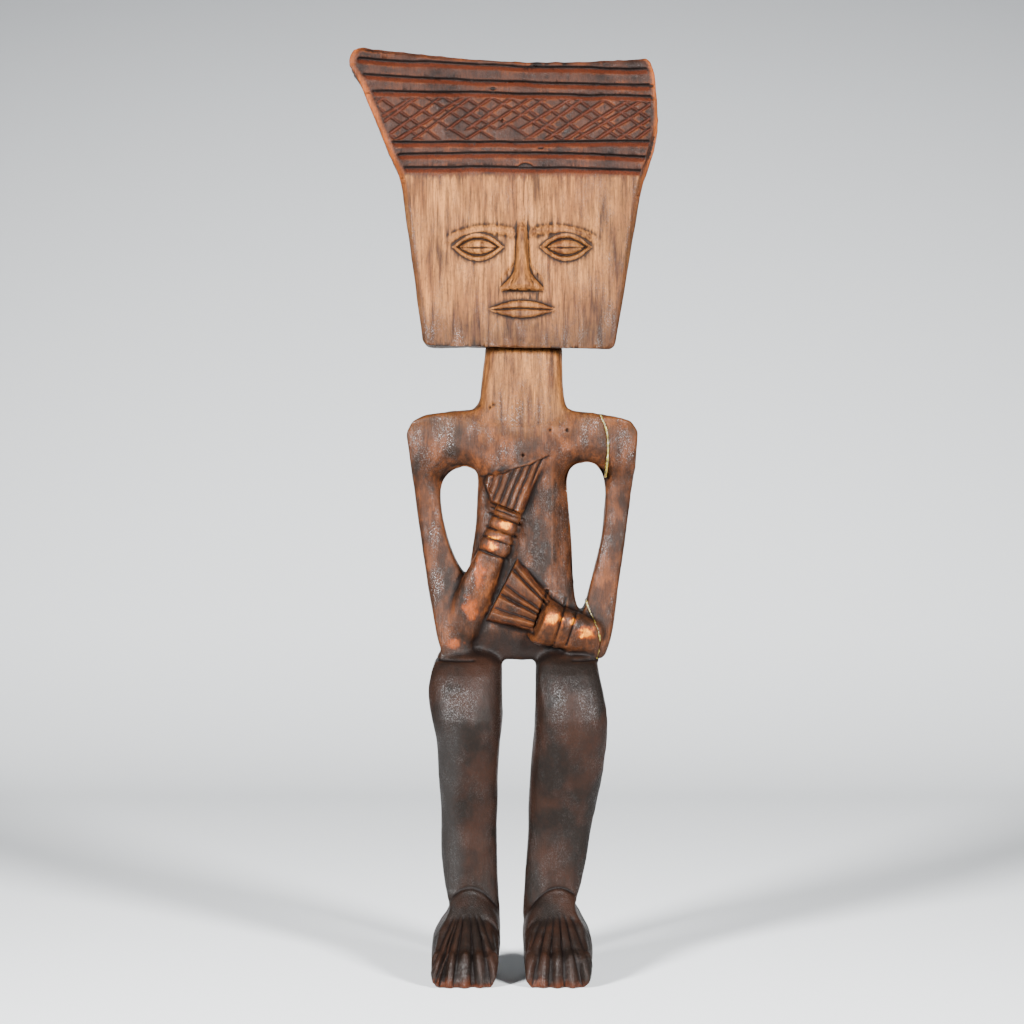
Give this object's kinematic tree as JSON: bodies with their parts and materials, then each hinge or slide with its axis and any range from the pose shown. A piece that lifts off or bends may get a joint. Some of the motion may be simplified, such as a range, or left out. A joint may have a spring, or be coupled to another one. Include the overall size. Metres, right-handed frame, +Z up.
{
  "type": "carved ancestor figure",
  "caption": "Standing carved wooden figure with a flaring ringed hat, block head, bent arms with hands on the chest, bent knees and flat feet, for display.",
  "frame": {"origin": "bottom centre of the figure's bounding box, on the surface the feet stand on", "axes": "+Z up along the figure's height, -Y the way the face looks, +X towards the figure's left hand"},
  "size_m": [0.152, 0.068, 0.4605],
  "materials": {
    "body_wood": "dark rubbed patina, waxed",
    "head_wood": "brown rubbed patina, worn lighter on the face",
    "arm_wood": "dark rubbed patina, handled to a shine",
    "glue": "dried yellowish adhesive"
  },
  "bodies": {
    "root": {"carved_body": "body_wood", "head_block": "head_wood", "left_upper_arm": "arm_wood", "shoulder_glue": "glue", "elbow_glue": "glue"}
  },
  "joints": []
}
